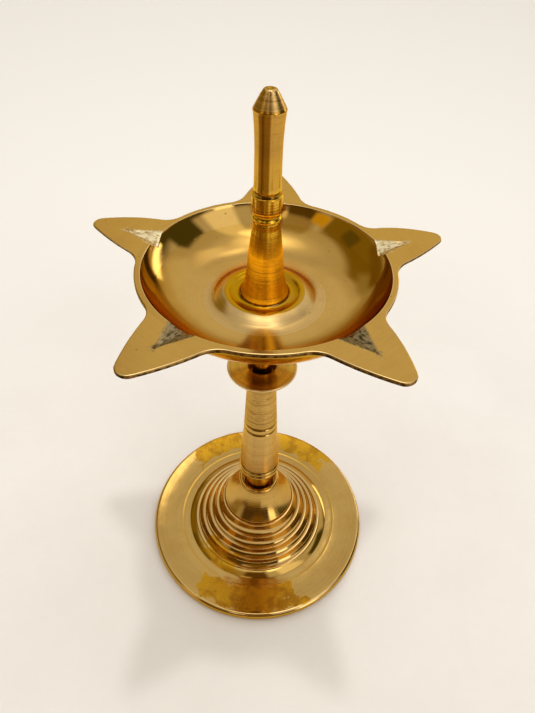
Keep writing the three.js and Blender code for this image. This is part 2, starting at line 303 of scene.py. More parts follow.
def mesh_of_rings(name, rings, marks, closed=False):
    """A smooth mesh from rings of points in millimetres; a ring of one point closes an end on the axis."""
    points = [(x * mm, y * mm, z * mm) for ring in rings for x, y, z in ring]
    faces = faces_between(rings, closed)
    mesh = bpy.data.meshes.new(name)
    mesh.from_pydata(points, [], faces)
    mesh.update()
    for mark, values in marks.items():
        layer = mesh.attributes.new(mark, "FLOAT", "POINT")
        layer.data.foreach_set("value", np.asarray(values, np.float32))
    mesh.shade_smooth()
    if faces_inwards(mesh, faces):
        mesh.flip_normals()
    mesh.set_sharp_from_angle(angle=math.radians(sharp_edge_degrees))
    made = bpy.data.objects.new(name, mesh)
    made.location = (axis_x, axis_y, 0)
    bpy.context.scene.collection.objects.link(made)
    return made


def turned(name, outline, around, closed=False):
    """A piece turned on the lathe from an outline of (radius, height, satin, warm)."""
    outline = closely_spaced(outline)
    # The recess mark darkens grooves and inside corners in the colour: partly dirt, partly painted shade.
    hollow = hollowness(outline)
    if closed:
        outline, hollow = outline[:-1], hollow[:-1]
    angles = [2 * math.pi * k / around for k in range(around)]
    rings, satin, warm, recess = [], [], [], []
    for (r, z, finish, golden), deep in zip(outline, hollow):
        if r < 1e-6:
            ring = [(0.0, 0.0, z)]
        else:
            ring = [(r * math.cos(a), r * math.sin(a), z) for a in angles]
        rings.append(ring)
        satin += [finish] * len(ring)
        warm += [golden] * len(ring)
        recess += [deep] * len(ring)
    return mesh_of_rings(name, rings, {"satin": satin, "warm": warm, "recess": recess}, closed)


def place(piece, node, material):
    """The piece stands for a CAD node, moves with its body and takes its finish."""
    body = next(b for b, names in frame["record"]["behaviour"]["bodies"].items() if node in names)
    piece.data.materials.append(material)
    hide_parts(node)
    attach(piece, body)
    return piece


# ---------------------------------------------------------------- base

def step_edges():
    """(radius, height) of the five step edges of the casting, from the top down."""
    edges, z = [], step_first_z
    for i in range(step_count):
        r = step_first_radius + (step_foot_radius - step_first_radius) * i / step_count
        edges.append((r, z))
        z -= step_drop_first - step_drop_change * i
    return edges


def collar_and_cone(bore):
    """From the bore up into the collar's socket, over its round ring and down the smooth cone."""
    collar_mid_z = collar_top_z - collar_ring_round
    counterbore_z = collar_top_z - counterbore_depth
    line = finished([(bore, base_ceiling_z), (bore, counterbore_z), (counterbore_radius, counterbore_z),
                     (counterbore_radius, collar_mid_z + 0.55),
                     (counterbore_radius + 0.2, collar_mid_z + 0.85)], 0.6)
    line += finished(arc(collar_radius - collar_ring_round, collar_mid_z, collar_ring_round,
                         105, -50, 14), 0.1)
    line += finished([(cone_top_radius, collar_mid_z - collar_ring_round)], 0.4)
    line += finished(bend((cone_top_radius + 0.15, collar_mid_z - 1.5), cone_waist,
                          (cone_foot_radius, cone_foot_z), 12), 0.55, 0.25)
    return line


def stepped_flank():
    """Five lips with a rounded hollow under each, from the cone's foot down to the plate; the lips are
    paler, partly worn bright and partly a painted highlight.
    """
    edges = step_edges()
    line = finished([(cone_foot_radius + 0.05, cone_foot_z - 0.35),
                     (cone_foot_radius + 0.1, edges[0][1] + 0.5)], 0.1, 1.0)
    for i, (r, z) in enumerate(edges):
        top = z + lip_rise
        start = max(r - lip_width, cone_foot_radius + 0.3)
        line += finished([(start, top - 0.14)], 0.08, 0.9)
        # Paler lip tops and edges: partly worn bright, partly painted highlight.
        line += finished([(start + 0.15, top - 0.03), (r - 0.6, top + 0.03), (r - 0.3, top)], 0.2, -0.2)
        line += finished(arc(r - 0.25, top - lip_round, lip_round, 75, 20, 4), 0.15, -0.2)
        line += finished([(r + 0.04, top - 0.3)], 0.05, 0.3)
        if i + 1 < step_count:
            next_r, next_z = edges[i + 1]
            under = (r + 0.08, top - 0.4)
            foot = (next_r - lip_width - 0.05, next_z + 0.12)
            middle = (under[0] + hollow_out * (foot[0] - r), under[1] - hollow_down * (under[1] - foot[1]))
            # The hollow is painted a little paler: painted lightening.
            line += finished(bend(under, middle, foot, 18), 0.08, -0.12)
        else:
            line += finished(bend((r + 0.12, top - 0.36), (r + 1.5, z - 0.52),
                                  (step_foot_radius - 0.35, plate_top_z - 0.14), 8), 0.0, 0.3)
    return line


def plate_and_rim():
    """The dished plate with its scribed line, and the rounded rim, paler on top as partly wear and partly
    painted highlight, and deep gold underneath as painted shade.
    """
    line = finished([(step_foot_radius, plate_top_z - 0.1),
                     (plate_line_radius - 0.25, plate_top_z - 0.02)], 0.2, 0.1)
    line += finished([(plate_line_radius, plate_top_z - 0.01),
                      (plate_line_radius + 0.25, plate_top_z + 0.1)], 0.1, 0.8)
    line += finished(bend((plate_line_radius + 0.5, plate_top_z + 0.13),
                          (dish_middle_radius, plate_top_z + 0.22),
                          (base_radius - 1.55, rim_crest_z - 0.06), 18), 0.25, 0.15)
    rim_centre = (base_radius - rim_round, rim_crest_z - rim_round)
    # Rim top paler, partly wear and partly painted highlight; its underside deep gold as painted shade.
    line += finished(arc(*rim_centre, rim_round, 72, 40, 4), 0.15, -0.3)
    line += finished(arc(*rim_centre, rim_round, 32, -42, 9), 0.15, 0.9)
    return line


def hollow_underside(bore):
    """The ring that the lamp stands on and the rough hollow that follows the steps from below."""
    line = finished([(foot_outer_radius + 0.05, 0.12), (foot_outer_radius - 0.15, 0),
                     (foot_inner_radius + 0.1, 0), (foot_inner_radius - 0.9, plate_under_z),
                     (step_foot_radius - 1.2, plate_under_z)], 1.3)
    for r, z in reversed(step_edges()[1:]):
        line += finished([(r - step_wall_out, max(z - step_wall_down, plate_under_z + 0.5))], 2)
    line += finished([(base_ceiling_radius + 1.6, base_ceiling_z - 3.4),
                      (base_ceiling_radius, base_ceiling_z), (bore, base_ceiling_z)], 2)
    return line


def base_outline():
    bore, _, _ = bore_for("lower_stud")
    return collar_and_cone(bore) + stepped_flank() + plate_and_rim() + hollow_underside(bore)


# ---------------------------------------------------------------- stem and studs

def stem_radius_at(z):
    """Radius of the tapering column at a height."""
    if z < stem_mid_z:
        return np.interp(z, (stem_shoulder_z, stem_mid_z), (stem_bottom_radius, stem_mid_radius))
    return np.interp(z, (stem_mid_z, disc_root_z), (stem_mid_radius, stem_top_radius))


def stem_outline():
    """From the lower bore, out under the two beads, up the column, round the drip disc and in again."""
    lower_bore, _, lower_end = bore_for("lower_stud")
    upper_bore, upper_end, _ = bore_for("upper_stud")
    line = finished([(0, lower_end), (lower_bore, lower_end), (lower_bore, stem_bottom_z + 0.3),
                     (lower_bore + 0.3, stem_bottom_z), (stem_bottom_radius - 0.7, stem_bottom_z)], 0.6)
    for i in range(2):
        z = stem_bottom_z + stem_bead_height / 2 + i * (stem_bead_height + 0.1)
        line += finished(arc(stem_bead_radius - stem_bead_round, z, stem_bead_round, -70, 70, 10), 0.1)
        line += finished([(stem_bottom_radius - 0.3, z + stem_bead_height / 2 + 0.05)], 0.3)
    line += finished([(stem_radius_at(stem_shoulder_z), stem_shoulder_z)], 0.4, 0.2)
    for side in (-0.5, 0.5):
        z = stem_mid_z + side * stem_groove_pitch
        half = stem_groove_width / 2
        wall = stem_radius_at(z)
        line += finished([(wall, z - half - 0.2)], 0.45, 0.2)
        line += finished(bend((wall - 0.03, z - half), (wall - 1.75 * stem_groove_depth, z),
                              (wall - 0.03, z + half), 8), 0.1)
        line += finished([(wall, z + half + 0.2)], 0.6)
    line += finished([(stem_radius_at(z), z) for z in (78, 90)], 1.0, 0.3)
    line += finished([(stem_top_radius, disc_root_z - 0.7)], 1.0, 0.3)
    line += disc_outline()
    line += finished([(upper_bore, disc_top_z - recess_depth), (upper_bore, upper_end),
                      (0, upper_end)], 0.5, 1.0)
    return line


def disc_outline():
    """The thin drip disc: pale border, partly worn bright and partly a painted highlight, paler underside as
    painted lightening, golden dished top and a round recess.
    """
    # Underside and border painted paler: painted lightening under the disc, and on the border partly wear,
    # partly painted highlight.
    line = finished(bend((stem_top_radius, disc_root_z), (stem_top_radius + 0.4, disc_root_z + 1.2),
                         (stem_top_radius + 1.6, disc_root_z + 1.5), 5), 0.8, -0.3)
    under_z = disc_top_z - disc_edge_height
    line += finished([(disc_radius - 0.35, under_z)], 0.5, -0.4)
    line += finished(arc(disc_radius - disc_under_round, under_z + disc_under_round,
                         disc_under_round, -60, 0, 3), 0.3, -0.2)
    line += finished(arc(disc_radius - disc_edge_round, disc_top_z - disc_edge_round,
                         disc_edge_round, 0, 80, 5), 0.3, -0.5)
    line += finished([(disc_radius - 0.8, disc_top_z - 0.02)], 0.4, 0.6)
    line += finished([(disc_radius - 1.2, disc_top_z),
                      (recess_radius + 0.3, disc_top_z + disc_rise)], 0.5, 0.8)
    line += finished([(recess_radius, disc_top_z + disc_rise - 0.3),
                      (recess_radius, disc_top_z - recess_depth)], 0.5, 1.0)
    return line


def threaded_stud(name, node, pitch, plain_from, plain_to, around=72):
    """A stud with a cut thread at both ends and a plain polished part between two heights."""
    bottom, top, radius = extent(node)
    depth = 0.5 * pitch
    rings, satin, recess = [[(0.0, 0.0, bottom)]], [1.0], [0.0]
    for z in np.arange(bottom + 0.02, top, pitch / 10):
        full = min(1.0, (z - bottom) / thread_chamfer_height, (top - z) / thread_chamfer_height)
        cut = min(max((plain_from - z) / thread_run_out, (z - plain_to) / thread_run_out, 0.0), 1.0)
        ring = []
        for k in range(around):
            turn = k / around
            groove = abs(((z / pitch - turn) % 1.0) - 0.5) * 2
            r = radius - thread_chamfer * (1 - full) - cut * depth * groove
            a = 2 * math.pi * turn
            ring.append((r * math.cos(a), r * math.sin(a), z))
            recess.append(cut * max(0.0, groove - 0.3))
        rings.append(ring)
        satin += [0.15 + 0.5 * cut] * around
    rings.append([(0.0, 0.0, top)])
    satin.append(1.0)
    recess.append(0.0)
    return mesh_of_rings(name, rings, {"satin": satin, "warm": [0.8] * len(satin), "recess": recess})


# ---------------------------------------------------------------- bowl

def wing_side(swell, reach):
    """Half of one wing from above: (along, across) from the rim, round the inside corner, to the tip."""
    root_angle = math.radians(wing_root_half_angle)
    rim_angle = root_angle + wing_root_fillet / bowl_outer_radius

    def on_rim(a):
        return bowl_outer_radius * math.cos(a), bowl_outer_radius * math.sin(a)

    root = on_rim(root_angle)
    tip_centre = reach - wing_tip_round
    fillet_end = 0.2

    def edge(t):
        along = root[0] + (tip_centre + 0.6 * wing_tip_round - root[0]) * t
        across = root[1] + (0.8 * wing_tip_round - root[1]) * t + 4 * swell * t * (1 - t)
        return along, across

    side = bend(on_rim(rim_angle), root, edge(fillet_end), 14)
    side += [edge(fillet_end + (1 - fillet_end) * i / 34) for i in range(1, 34)]
    side += arc(tip_centre, 0, wing_tip_round, 44, 0, 11)
    return side


def wing_angle(wing):
    """Direction of a wing in radians; the first one points to the back."""
    return math.radians(90 + 360 / wing_count * wing + wing_turn[wing])


def star_outline(rim_steps=18):
    """Points round the star's edge seen from above, wing by wing with the round rim between them."""
    points = []
    for wing in range(wing_count):
        turn = wing_angle(wing)
        reach = wing_tip_reach + wing_reach_change[wing]
        right, left = (wing_side(swell, reach) for swell in wing_side_swell[wing])
        half = [(x, -y) for x, y in right[:-1]] + left[::-1]
        c, s = math.cos(turn), math.sin(turn)
        points += [(x * c - y * s, x * s + y * c) for x, y in half]
        last = math.atan2(points[-1][1], points[-1][0])
        following = wing_angle(wing + 1) if wing + 1 < wing_count else wing_angle(0) + 2 * math.pi
        first = following - math.atan2(left[0][1], left[0][0])
        span = (first - last) % (2 * math.pi)
        for i in range(1, rim_steps):
            a = last + span * i / rim_steps
            points.append((bowl_outer_radius * math.cos(a), bowl_outer_radius * math.sin(a)))
    return np.array(points)


def inside_of_bowl():
    """Outline from the bore under the finial, over the boss and the floor, up to the rim's inner edge."""
    bore, bore_end, _ = bore_for("finial_stud")
    seat = finial_foot_radius + 0.12
    line = finished([(0, bore_end), (bore, bore_end), (bore, boss_floor_z), (seat, boss_floor_z),
                     (seat + 0.05, boss_floor_z + seat_depth - 0.15)], 0.7, 0.8)
    line += finished(bend((seat + 0.25, boss_floor_z + seat_depth),
                          (boss_floor_radius - 0.8, boss_floor_z + 0.45),
                          (boss_crest_radius - 1.1, boss_crest_z - 0.55), 10), 0.5, 1.0)
    line += finished(bend((boss_crest_radius - 1.0, boss_crest_z - 0.46),
                          (boss_crest_radius - 0.2, boss_crest_z + 0.05),
                          (boss_crest_radius + 0.45, boss_crest_z - 0.07), 8), 0.2, 1.0)
    line += finished([(boss_crest_radius + 0.9, boss_crest_z - 0.16)], 0.3, 0.8)
    # The boss's outer slope and foot are painted a little paler: painted highlight.
    line += finished(bend((boss_crest_radius + 1.1, boss_crest_z - 0.22),
                          (boss_crest_radius + 2.4, boss_crest_z - 0.62),
                          (boss_foot_radius - 0.3, floor_z + 0.6), 14), 0.7, -0.2)
    line += finished(bend((boss_foot_radius - 0.15, floor_z + 0.52),
                          (boss_foot_radius + 0.9, floor_z + 0.06),
                          (boss_foot_radius + 3.0, floor_z + 0.03), 12), 0.8, -0.1)
    floor_run = bend((boss_foot_radius + 3.2, floor_z + 0.03), (floor_middle_radius, floor_z + 0.1),
                     (wall_foot_radius, wall_foot_z), 34)
    outer_floor = (gloss_from_radius, wall_foot_radius)
    for r, z in floor_run:
        satin = np.interp(r, outer_floor, (0.55, 0.12))
        line += finished([(r, z)], satin, np.interp(r, outer_floor, (0.25, 0.45)))
    line += finished(bend((wall_foot_radius + 0.1, wall_foot_z + 0.12), wall_middle,
                          (bowl_inner_radius, bowl_rim_z - 0.3), 20), 0.04, 0.2)
    # Paler inner edge of the rim: partly worn bright, partly painted highlight.
    line += finished(arc(bowl_inner_radius + 0.25, bowl_rim_z - 0.25, 0.25, 180, 95, 4)[1:], 0.1, -0.4)
    return line


def outside_of_bowl():
    """Outline from under the wings, down the wall and the neck, into the bore for the stud below."""
    neck_bore, _, bore_end = bore_for("upper_stud")
    turn = (floor_turn_radius + 1.8, floor_turn_z - 2)
    line = finished(bend((bowl_outer_radius - 0.35, bowl_rim_z - wing_thickness - 0.15),
                         (bowl_outer_radius - 1.95, floor_turn_z + 1.5), turn, 20), 0.15, 0.7)
    # The underside and the neck are painted paler than bare brass: painted lightening of faces in shade.
    line += finished(bend(turn, (floor_turn_radius - 3.4, underside_z + 0.9),
                          (neck_flare_radius + 3, underside_z + 0.15), 16)[1:], 0.3, -0.3)
    line += finished(bend((neck_flare_radius, underside_z), (neck_waist_radius + 0.5, underside_z - 1.2),
                          (neck_waist_radius, neck_waist_z + 2), 18), 0.5, -0.3)
    line += finished([(neck_waist_radius, bowl_bottom_z + 2.4), (neck_bottom_radius, bowl_bottom_z + 1.6),
                      (neck_bottom_radius, bowl_bottom_z + 0.4), (neck_bottom_radius - 0.4, bowl_bottom_z),
                      (neck_bore, bowl_bottom_z), (neck_bore, bore_end), (0, bore_end)], 0.5)
    return line


def nearest_wing(x, y):
    """Number of the wing whose fifth of the star holds a place."""
    around = math.degrees(math.atan2(y, x)) - 90 + 180 / wing_count
    return int((around % 360) // (360 / wing_count))


def raised(x, y):
    """How much a wing has risen at a place, since the wings tilt up a little towards their tips."""
    out = (math.hypot(x, y) - bowl_outer_radius) / (wing_tip_reach - bowl_outer_radius)
    return wing_tip_rise[nearest_wing(x, y)] * max(0.0, out)


def edge_thickness(x, y):
    """Thickness of the sawn edge here; the smith filed some wings thinner underneath."""
    out = (math.hypot(x, y) - bowl_outer_radius) / 3
    thin = wing_edge_share[nearest_wing(x, y)]
    return wing_thickness * (1 + (thin - 1) * min(max(out, 0.0), 1.0))


def in_notch(x, y):
    """(wing, depth of its filed notch here in millimetres, how much the file has touched the metal)."""
    wing = nearest_wing(x, y)
    a = wing_angle(wing)
    along = x * math.cos(a) + y * math.sin(a)
    across = -x * math.sin(a) + y * math.cos(a)
    left = (notch_reach[wing] - along) / (notch_reach[wing] - bowl_inner_radius)
    if left < -0.25:
        return wing, 0.0, 0.0
    width, valley = notch_half_width[wing], notch_valley[wing] * max(left, 0.0)
    room = width * max(left, 0.0) + (-valley if across > valley else valley)
    inside = 1 - abs(across - valley) / max(room, 0.4) if left > 0 else -abs(across) + left * 8
    depth = notch_depth * max(left, 0.06) * inside
    lip = min(max((bowl_outer_radius - 0.1 - along) / 2.2, 0.0), 1.0)
    depth += notch_lip_depth * lip * lip * max(inside, 0.0)
    ragged = noise.noise(Vector((x * 1.3, y * 1.3, 4.0))) * 0.5
    touched = min(max((depth + 0.14 + 0.25 * ragged) / 0.22, 0.0), 1.0)
    return wing, max(depth, 0.0), touched


def off_centre(x, y):
    """The bowl's rim lies a little off the axis of its foot, as it did in the mould."""
    share = min(max((math.hypot(x, y) - 13) / 16, 0.0), 1.0)
    share = share * share * (3 - 2 * share)
    return x + bowl_lean[0] * share, y + bowl_lean[1] * share


def star_bowl():
    """The bowl and its star in one mesh, ring by ring from the bore inside to the bore underneath."""
    edge = star_outline()
    angles = np.arctan2(edge[:, 1], edge[:, 0])
    run = np.roll(edge, -1, axis=0) - np.roll(edge, 1, axis=0)
    out = np.stack([run[:, 1], -run[:, 0]], axis=1)
    out /= np.linalg.norm(out, axis=1)[:, None]
    ring_dir = np.stack([np.cos(angles), np.sin(angles)], axis=1)
    out[np.sum(out * ring_dir, axis=1) < 0] *= -1
    rings = []
    marks = {mark: [] for mark in ("satin", "warm", "recess", "filed", "sawn", "notch_darkness")}
    notch_lowest_z = bowl_rim_z - notch_depth - notch_lip_depth - 0.5

    def add_ring(points, finish, golden=0.4, deep=0.0, cut=0.0):
        """One more ring, let down where a notch is filed into it."""
        ring = []
        for x, y, z in points:
            touched, black = 0.0, 0.0
            if z > notch_lowest_z and math.hypot(x, y) > notch_start_radius and cut < 0.5:
                wing, depth, touched = in_notch(x, y)
                if z > bowl_rim_z - depth:
                    z = min(z, bowl_rim_z - depth) if depth > 0 else z
                elif math.hypot(x, y) < bowl_inner_radius + 0.2:
                    touched = 0.0
                black = notch_darkness_of_wing[wing] if touched > 0.01 else 0.0
            ring.append((*off_centre(x, y), z))
            marks["filed"].append(touched)
            marks["notch_darkness"].append(black)
        rings.append(ring)
        for mark, value in (("satin", finish), ("warm", golden), ("recess", deep), ("sawn", cut)):
            marks[mark].extend([value] * len(ring))

    def add_outline(outline):
        """Rings of the round bowl, or a single point where the outline is on the axis."""
        outline = closely_spaced(outline, widest=0.9)
        for (r, z, finish, golden), deep in zip(outline, hollowness(outline)):
            around = ring_dir if r > 1e-6 else [(0.0, 0.0)]
            add_ring([(r * u, r * v, z) for u, v in around], finish, golden, deep)

    def add_edge(inset, drop, finish, **look):
        """One ring along the star's edge, a little inside it and below the wings' top."""
        points = [(x, y, bowl_rim_z + raised(x, y) - drop(x, y)) for x, y in edge - out * inset]
        add_ring(points, finish, **look)

    inside = inside_of_bowl()
    add_outline(inside)
    rim_r = inside[-1][0] + 0.08
    tops = edge - out * wing_top_round
    rows = 34
    for i in range(rows + 1):
        t = i / rows
        flat = ring_dir * rim_r * (1 - t) + tops * t
        add_ring([(x, y, bowl_rim_z + raised(x, y)) for x, y in flat], 0.55)
    for a in (60, 30, 0):
        c, s = math.cos(math.radians(a)), math.sin(math.radians(a))
        # The top edge of each wing is paler: partly worn bright, partly painted highlight.
        look = {"golden": -0.8} if a == 60 else {"golden": 0.3, "cut": 0.6}
        add_edge(wing_top_round * (1 - c), lambda x, y: wing_top_round * (1 - s), 0.2, **look)
    for share in (0.45, 0.6):
        add_edge(0.0, lambda x, y: share * edge_thickness(x, y), 1, cut=1.0)
    for a in (0, -45, -90):
        c, s = math.cos(math.radians(a)), math.sin(math.radians(a))
        add_edge(wing_low_round * (1 - c),
                 lambda x, y: edge_thickness(x, y) - wing_low_round * (1 + s), 1, cut=1.0)
    lows = edge - out * wing_low_round
    wall_r = bowl_outer_radius - 0.35
    rows = 20
    for i in range(1, rows):
        t = i / rows
        flat = lows * (1 - t) + ring_dir * wall_r * t
        thick = [edge_thickness(x, y) * (1 - t) + wing_thickness * t for x, y in flat]
        add_ring([(x, y, bowl_rim_z + raised(x, y) - h) for (x, y), h in zip(flat, thick)], 0.9, cut=0.3)
    add_outline(outside_of_bowl())
    return mesh_of_rings("star_bowl", rings, marks)


# ---------------------------------------------------------------- finial

def finial_outline():
    """From the top of the bore, out under the foot, up the trumpet, bead, drum and shaft, over the cap."""
    bore, _, bore_end = bore_for("finial_stud")
    line = finished([(0, bore_end), (bore, bore_end), (bore, finial_bottom_z),
                     (finial_foot_radius - 0.5, finial_bottom_z)], 0.5)
    return line + trumpet_outline() + drum_outline() + shaft_and_cap()


def trumpet_outline():
    """The flared foot with its fine tool rings, and the trumpet up to its neck."""
    foot_top = finial_bottom_z + 0.9
    # The rounded foot edge is paler: partly worn bright, partly painted highlight.
    line = finished(arc(finial_foot_radius - 0.3, finial_bottom_z + 0.4, 0.28, -70, 50, 6), 0.1, -0.4)
    skirt = bend((finial_foot_radius - 0.1, foot_top + 0.3), (5.7, foot_top + 3.6),
                 (trumpet_waist_radius, trumpet_waist_z), 60)
    for i, (r, z) in enumerate(skirt):
        ringed = min(max((finial_bottom_z + 10 - z) / 3, 0.0), 1.0)
        line += finished([(r + tool_ring_depth * ringed * (i % 2), z)], 0.5, 0.9)
    line += finished(bend((trumpet_waist_radius, trumpet_waist_z), (4.5, 158.4),
                          (trumpet_top_radius, trumpet_top_z), 10)[1:], 0.45, 0.8)
    return line


def drum_outline():
    """The bead between two necks, and the drum with its bevelled foot."""
    line = finished([(trumpet_top_radius - 0.1, bead_z - 1.1)], 0.1, 0.9)
    line += finished(arc(bead_radius - 0.75, bead_z, 0.75, -60, 60, 8), 0.05, 0.7)
    line += finished([(bead_radius - 0.5, drum_bottom_z - 0.5),
                      (drum_radius - 0.55, drum_bottom_z)], 0.1, 0.9)
    line += finished(bend((drum_radius - 0.5, drum_bottom_z + 0.1),
                          (drum_radius - 0.05, drum_bottom_z + 0.5),
                          (drum_radius, drum_bottom_z + drum_bevel), 5), 0.1)
    line += finished([(drum_radius, drum_top_z - 0.4)], 0.2)
    line += finished(arc(drum_radius - 0.3, drum_top_z - 0.3, 0.3, 0, 90, 4), 0.1)
    line += finished([(drum_neck_radius + 0.05, drum_top_z + 0.1),
                      (drum_neck_radius - 0.1, shaft_bottom_z - 0.55)], 0.1)
    return line


def shaft_and_cap():
    """The long shaft, which flares under the cap, and the cone of the cap with a centre mark."""
    line = finished(bend((shaft_radius - 0.12, shaft_bottom_z - 0.4),
                         (shaft_radius + 0.22, shaft_bottom_z - 0.1),
                         (shaft_radius + 0.12, shaft_bottom_z + 0.6), 6), 0.1)
    line += finished([(shaft_radius + 0.02, shaft_bottom_z + 1.6)], 0.25, 0.35)
    line += finished([(shaft_radius - 0.07, flare_start_z)], 0.35, 0.1)
    line += finished(bend((shaft_radius - 0.06, flare_start_z + 0.5),
                          (shaft_radius - 0.02, flare_start_z + 6),
                          (cap_radius - 0.12, cap_z - 0.4), 10), 0.4, 0.0)
    line += finished(bend((cap_radius - 0.06, cap_z - 0.2), (cap_radius + 0.02, cap_z),
                          (cap_radius - 0.14, cap_z + 0.28), 5), 0.3, 0.1)
    # The cap and the tip are paler: partly worn bright, partly painted highlight.
    line += finished([(cap_radius - 0.4, cap_z + 0.75), (tip_radius + 0.8, tip_z - 1.4)], 0.8, -0.3)
    line += finished(bend((tip_radius + 0.5, tip_z - 0.95), (tip_radius + 0.05, tip_z - 0.05),
                          (tip_radius - 0.35, tip_z - 0.02), 6), 0.4, -0.4)
    line += finished([(0.62, tip_z - 0.03), (0.45, tip_z - 0.3), (0, tip_z - 0.8)], 0.6)
    return line


# ---------------------------------------------------------------- node helpers

class Board:
    """A node tree with short calls for adding and joining nodes."""

    def __init__(self, tree):
        self.tree = tree

    def add(self, kind, values=None, **settings):
        node = self.tree.nodes.new(kind)
        for key, value in settings.items():
            setattr(node, key, value)
        for key, value in (values or {}).items():
            self.feed(node.inputs[key], value)
        return node

    def feed(self, socket, value):
        if isinstance(value, bpy.types.NodeSocket):
            self.tree.links.new(value, socket)
        else:
            socket.default_value = value

    def group(self, tree, values):
        return self.add("ShaderNodeGroup", values, node_tree=tree)

    def calc(self, operation, *values, clamp=False):
        node = self.add("ShaderNodeMath", operation=operation, use_clamp=clamp)
        for socket, value in zip(node.inputs, values):
            self.feed(socket, value)
        return node.outputs[0]

    def plus(self, a, b, clamp=False):
        return self.calc("ADD", a, b, clamp=clamp)

    def minus(self, a, b):
        return self.calc("SUBTRACT", a, b)

    def times(self, a, b, clamp=False):
        return self.calc("MULTIPLY", a, b, clamp=clamp)

    def over(self, a, b):
        return self.calc("DIVIDE", a, b)

    def most(self, a, b):
        return self.calc("MAXIMUM", a, b)

    def size(self, a):
        return self.calc("ABSOLUTE", a)

    def split(self, vector):
        return self.add("ShaderNodeSeparateXYZ", {"Vector": vector}).outputs

    def joined(self, x, y, z):
        return self.add("ShaderNodeCombineXYZ", {"X": x, "Y": y, "Z": z}).outputs[0]

    def length(self, vector):
        return self.add("ShaderNodeVectorMath", {0: vector}, operation="LENGTH").outputs["Value"]

    def stretched(self, vector, by):
        return self.add("ShaderNodeVectorMath", {0: vector, 1: by}, operation="MULTIPLY").outputs[0]

    def compass(self, parts):
        """Angle round the lamp in radians, 0 at the front and growing to the right."""
        return self.calc("ARCTAN2", parts[0], self.times(parts[1], -1.0))

    def between(self, value, low, high):
        """0 up to low and 1 from high on, with a soft passage; low may be the greater of the two."""
        node = self.add("ShaderNodeMapRange", {"Value": value, "From Min": low, "From Max": high})
        node.interpolation_type = "SMOOTHSTEP"
        return node.outputs["Result"]

    def blend(self, share, a, b):
        node = self.add("ShaderNodeMix", data_type="RGBA")
        self.feed(node.inputs[0], share)
        self.feed(node.inputs[6], a)
        self.feed(node.inputs[7], b)
        return node.outputs[2]

    def grain(self, place, scale, detail=2.0, rough=0.5):
        node = self.add("ShaderNodeTexNoise", {"Vector": place, "Scale": scale, "Detail": detail,
                                               "Roughness": rough})
        return node.outputs[0]

    def mark(self, name):
        node = self.add("ShaderNodeAttribute", attribute_name=name, attribute_type="GEOMETRY")
        return node.outputs["Fac"]


def new_group(name, inputs, outputs):
    """A node group with named sockets; inputs maps a name to (kind, default)."""
    tree = bpy.data.node_groups.new(name, "ShaderNodeTree")
    for label, (kind, default) in inputs.items():
        socket = tree.interface.new_socket(label, in_out="INPUT", socket_type=kind)
        if default is not None:
            socket.default_value = default
    for label, kind in outputs.items():
        tree.interface.new_socket(label, in_out="OUTPUT", socket_type=kind)
    board = Board(tree)
    entry = tree.nodes.new("NodeGroupInput").outputs
    leave = tree.nodes.new("NodeGroupOutput").inputs
    return board, entry, leave


NUMBER, COLOUR, VECTOR = "NodeSocketFloat", "NodeSocketColor", "NodeSocketVector"


def lathe_lines_group():
    """Rings left by the lathe tool, the same all round at one radius and height, and its chatter."""
    board, entry, leave = new_group("lathe lines", {
        "Place": (VECTOR, None), "Spacing": (NUMBER, 0.001), "Wander": (NUMBER, 0.00015),
        "Seed": (NUMBER, 0.0),
    }, {"Height": NUMBER, "Fine": NUMBER, "Chatter": NUMBER})
    parts = board.split(entry["Place"])
    radius = board.length(board.joined(parts[0], parts[1], 0.0))
    sway = board.times(board.minus(board.grain(entry["Place"], 60.0, 1.0), 0.5), entry["Wander"])
    across = board.joined(board.plus(radius, sway), board.plus(parts[2], sway), entry["Seed"])
    often = board.over(1.0, entry["Spacing"])
    board.feed(leave["Height"], board.grain(across, often, 2.0, 0.6))
    board.feed(leave["Fine"], board.grain(across, board.times(often, 4.5), 1.0, 0.5))
    squeezed = board.stretched(entry["Place"], (1.0, 1.0, 9.0))
    board.feed(leave["Chatter"], board.between(board.grain(squeezed, 300.0, 2.0, 0.6), 0.55, 0.66))
    return board.tree


def hand_marks_group():
    """What hands and the polishing wheel leave: slow waves, short scratches and casting pits."""
    board, entry, leave = new_group("hand marks", {
        "Place": (VECTOR, None), "Wave": (NUMBER, 0.012), "Seed": (NUMBER, 0.0),
    }, {"Waves": NUMBER, "Scratches": NUMBER, "Pits": NUMBER, "Cloud": NUMBER})
    shift = board.joined(entry["Seed"], 0.0, entry["Seed"])
    place = board.add("ShaderNodeVectorMath", {0: entry["Place"], 1: shift}, operation="ADD").outputs[0]
    board.feed(leave["Waves"], board.grain(place, board.over(1.0, entry["Wave"]), 1.5, 0.45))
    board.feed(leave["Cloud"], board.grain(place, 95.0, 4.0, 0.55))
    along = board.between(board.grain(board.stretched(place, (1.0, 0.12, 0.5)), 2600.0, 1.0), 0.66, 0.74)
    across = board.between(board.grain(board.stretched(place, (0.1, 1.0, 0.6)), 2100.0, 1.0), 0.67, 0.75)
    where = board.between(board.grain(place, 55.0, 1.0), 0.48, 0.66)
    board.feed(leave["Scratches"], board.times(board.most(along, across), where))
    cells = board.add("ShaderNodeTexVoronoi", {"Vector": place, "Scale": 420.0, "Randomness": 1.0})
    speck = board.between(cells.outputs["Distance"], 0.13, 0.06)
    chance = board.add("ShaderNodeSeparateColor", {0: cells.outputs["Color"]}).outputs[0]
    sparse = board.between(chance, 0.86, 0.9)
    board.feed(leave["Pits"], board.times(speck, sparse))
    return board.tree


